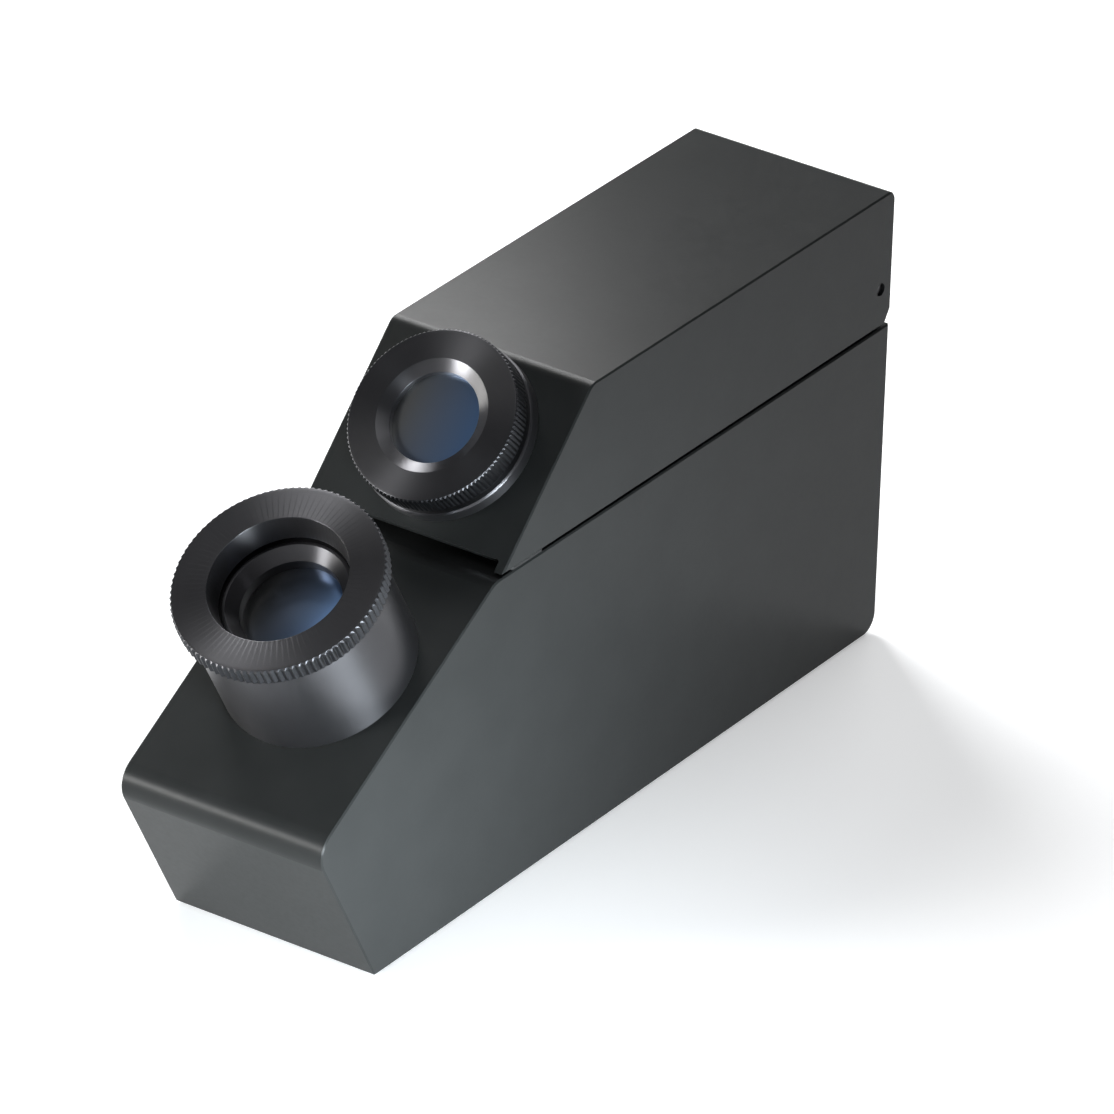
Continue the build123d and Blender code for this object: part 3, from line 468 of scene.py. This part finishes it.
retainer = (
    (CONE_THROAT, LENS_HIGH),
    (LENS_RADIUS, LENS_HIGH),
    (LENS_RADIUS, CELL_STEP),
    (RETAINER_RADIUS, CELL_STEP),
    (RETAINER_RADIUS, RETAINER_TOP),
    (CONE_MOUTH, RETAINER_TOP),
    (CONE_THROAT, CONE_LOW),
)
turned("lens_retaining_cone", softened(retainer, 0.08), eye, turned_black, "eye_lens_retainer")
turned(
    "eyepiece_lens",
    lens_outline(LENS_RADIUS, LENS_CLEAR, LENS_LOW, LENS_HIGH, LENS_BULGE),
    eye,
    finishes["coated_glass"],
    "eye_lens",
)

# Filter: the collar with its neck, the knurled ring and the flat glass
collar = (
    (COLLAR_BORE, COLLAR_LOW),
    (COLLAR_RADIUS - RIM_CHAMFER, COLLAR_LOW),
    (COLLAR_RADIUS, COLLAR_LOW + RIM_CHAMFER),
    (COLLAR_RADIUS, COLLAR_HIGH - RIM_CHAMFER),
    (COLLAR_RADIUS - RIM_CHAMFER, COLLAR_HIGH),
    (NECK_RADIUS, COLLAR_HIGH),
    (NECK_RADIUS, SNAP_LOW),
    (NECK_RADIUS - SNAP_IN, SNAP_LOW),
    (NECK_RADIUS - SNAP_IN, SNAP_HIGH),
    (NECK_RADIUS, SNAP_HIGH),
    (NECK_RADIUS, NECK_HIGH),
    (COLLAR_BORE, NECK_HIGH),
)
turned("filter_base_collar", softened(collar, 0.1), filter_stand, turned_black, "filter_collar")

cap = (
    (CAP_MOUTH, CAP_HIGH),
    (CAP_THROAT, CAP_CONE_LOW),
    (CAP_THROAT, GLASS_HIGH),
    (GLASS_SEAT, GLASS_HIGH),
    (GLASS_SEAT, HUB_LOW),
    (HUB_RADIUS, HUB_LOW),
    (HUB_RADIUS, CAP_ROOF),
    (CAP_BORE, CAP_ROOF),
    (CAP_BORE, SNAP_HIGH + RUNNING_GAP),
    (SNAP_OUT, SNAP_HIGH + RUNNING_GAP),
    (SNAP_OUT, SNAP_LOW - RUNNING_GAP),
    (CAP_BORE, SNAP_LOW - RUNNING_GAP),
    (CAP_BORE, CAP_LOW),
    (CAP_RADIUS - RIM_CHAMFER, CAP_LOW),
    (CAP_RADIUS, CAP_LOW + RIM_CHAMFER),
    (CAP_RADIUS, CAP_HIGH - RIM_CHAMFER),
    (CAP_RADIUS - RIM_CHAMFER, CAP_HIGH),
    (CAP_RADIUS - RIM_CHAMFER - FACE_LOOP, CAP_HIGH),
)
turned(
    "knurled_filter_ring",
    softened(cap, 0.08),
    filter_stand,
    turned_black,
    "filter_ring",
    toothed_turn(CAP_TEETH, CAP_TOOTH),
    (CAP_RADIUS, CAP_LOW + CAP_KNURL_LAND, CAP_HIGH + 0.1, CAP_RADIUS - CAP_TOOTH),
)
glass_disc = ((0, GLASS_HIGH), (0, GLASS_LOW), (GLASS_RADIUS, GLASS_LOW), (GLASS_RADIUS, GLASS_HIGH))
turned("polarising_glass", softened(glass_disc, 0.1), filter_stand, finishes["coated_glass"], "polariser_glass")

# Rear light port
flange = (
    (PORT_BORE, 0),
    (PORT_FLANGE, 0),
    (PORT_FLANGE, -PORT_FLANGE_THICKNESS),
    (PORT_RADIUS, -PORT_FLANGE_THICKNESS),
    (PORT_RADIUS, -PORT_LENGTH),
    (PORT_SEAT, -PORT_LENGTH),
    (PORT_SEAT, -PORT_BORE_LENGTH),
    (PORT_BORE, -PORT_BORE_LENGTH),
)
port_low, port_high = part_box("light_port_ring")
port_middle = (port_low + port_high) / 2
port = turned_frame((port_middle.x, port_high.y, port_middle.z), (0, 1, 0))
turned("light_port_flange", softened(flange, 0.15), port, turned_black, "light_port_ring")

# Stage: a plain pale floor that curves up into a low wall all round and reads white
FLOOR_RADIUS, FLOOR_CURVE, WALL_HEIGHT, WALL_STEPS = 8.0, 1.5, 3.6, 96
FLOOR_STEPS, CURVE_STEPS = 8, 8
FLOOR_COLOUR = (0.86, 0.87, 0.88)
FLOOR_WHITE = 0.42
WORLD_LIGHT = (0.06, 0.06, 0.065)

studio = [(FLOOR_RADIUS * (step + 1) / FLOOR_STEPS, 0.0) for step in range(FLOOR_STEPS)]
for step in range(CURVE_STEPS):
    rise = (step + 1) * math.pi / 2 / CURVE_STEPS
    studio.append((FLOOR_RADIUS + FLOOR_CURVE * math.sin(rise), FLOOR_CURVE * (1 - math.cos(rise))))
studio.append((FLOOR_RADIUS + FLOOR_CURVE, WALL_HEIGHT))
spots, patches = [(0.0, 0.0, 0.0)], []
for step in range(WALL_STEPS):
    turn = 2 * math.pi * step / WALL_STEPS
    spots += [(radius * math.cos(turn), radius * math.sin(turn), height) for radius, height in studio]
for step in range(WALL_STEPS):
    here, beyond = 1 + step * len(studio), 1 + (step + 1) % WALL_STEPS * len(studio)
    patches.append((0, here, beyond))
    patches += [(here + k, here + k + 1, beyond + k + 1, beyond + k) for k in range(len(studio) - 1)]
floor_mesh = bpy.data.meshes.new("floor")
floor_mesh.from_pydata(spots, [], patches)
floor_mesh.shade_smooth()
floor = bpy.data.objects.new("floor", floor_mesh)
scene.collection.objects.link(floor)
floor_material, tree, shader, place = tree_of("pale_floor")
tree.links.new(
    blend_colours(tree, noise(tree, place, FLOOR_TONE), FLOOR_COLOUR, tuple(c * 1.02 for c in FLOOR_COLOUR)),
    shader.inputs["Base Color"],
)
shader.inputs["Roughness"].default_value = 0.9
shader.inputs["Specular IOR Level"].default_value = 0.0
shader.inputs["Emission Color"].default_value = (1.0, 1.0, 1.0, 1)
rays = tree.nodes.new("ShaderNodeLightPath")
seen = tree.nodes.new("ShaderNodeMath")
seen.operation = "MAXIMUM"
tree.links.new(rays.outputs["Is Camera Ray"], seen.inputs[0])
tree.links.new(rays.outputs["Is Glossy Ray"], seen.inputs[1])
through = tree.nodes.new("ShaderNodeMath")
through.operation = "MAXIMUM"
tree.links.new(seen.outputs[0], through.inputs[0])
tree.links.new(rays.outputs["Is Transmission Ray"], through.inputs[1])
white = tree.nodes.new("ShaderNodeMath")
white.operation = "MULTIPLY"
white.inputs[1].default_value = FLOOR_WHITE
tree.links.new(through.outputs[0], white.inputs[0])
tree.links.new(white.outputs[0], shader.inputs["Emission Strength"])
floor_mesh.materials.append(floor_material)

world = bpy.data.worlds.new("studio")
world.use_nodes = True
world.node_tree.nodes["Background"].inputs["Color"].default_value = (*WORLD_LIGHT, 1)
scene.world = world

# Lamps: name, where each stands and what it points at in metres, width, height, brightness of its face,
# the angle in degrees over which it spreads, and colour
BODY_MIDDLE = (0.0, 0.0, 0.05)
NEUTRAL, COOL, WARM = (1.0, 1.0, 1.0), (0.87, 0.95, 1.0), (1.0, 0.98, 0.9)
LAMPS = (
    ("back", (-0.163, 0.923, 1.09), BODY_MIDDLE, 0.7, 0.7, 3.2, 180, NEUTRAL),
    ("top", (0.05, -0.3, 1.6), BODY_MIDDLE, 0.8, 0.8, 1.1, 180, NEUTRAL),
    ("side", (0.2, -0.14, 0.035), (0.02, -0.075, 0.03), 0.12, 0.05, 11, 60, COOL),
    ("nose", (-0.678, -0.968, 0.258), BODY_MIDDLE, 0.3, 0.3, 32, 180, NEUTRAL),
    ("left", (-0.98, -0.68, 0.13), BODY_MIDDLE, 1.1, 0.16, 12.5, 180, WARM),
    ("fans", (-0.668, 0.386, 0.969), BODY_MIDDLE, 0.4, 0.4, 12.5, 180, NEUTRAL),
    ("lid", (-0.2, 0.2, 0.3), (0.0, -0.02, 0.1), 0.12, 0.12, 13, 180, NEUTRAL),
)
for name, place, aim, wide, high, brightness, angle, colour in LAMPS:
    light = bpy.data.lights.new(name, "AREA")
    light.shape = "RECTANGLE"
    light.size, light.size_y = wide, high
    light.energy = math.pi * wide * high * brightness
    light.spread = math.radians(angle)
    light.color = colour
    lamp = bpy.data.objects.new(name, light)
    scene.collection.objects.link(lamp)
    lamp.location = place
    lamp.rotation_euler = (Vector(place) - Vector(aim)).to_track_quat("Z", "Y").to_euler()
    lamp.visible_camera = False

# Camera at the photograph's viewing angle
camera_data = bpy.data.cameras.new("camera")
camera_data.lens = CAMERA_LENS
camera_data.sensor_width = SENSOR
camera_data.clip_end = 100
camera = bpy.data.objects.new("camera", camera_data)
scene.collection.objects.link(camera)
turn = (
    Matrix.Rotation(math.radians(CAMERA_AZIMUTH), 4, "Z")
    @ Matrix.Rotation(math.radians(90 - CAMERA_ELEVATION), 4, "X")
    @ Matrix.Rotation(math.radians(CAMERA_ROLL), 4, "Z")
)
camera.matrix_world = Matrix.Translation(CAMERA_AIM) @ turn @ Matrix.Translation((0, 0, CAMERA_DISTANCE))
scene.camera = camera
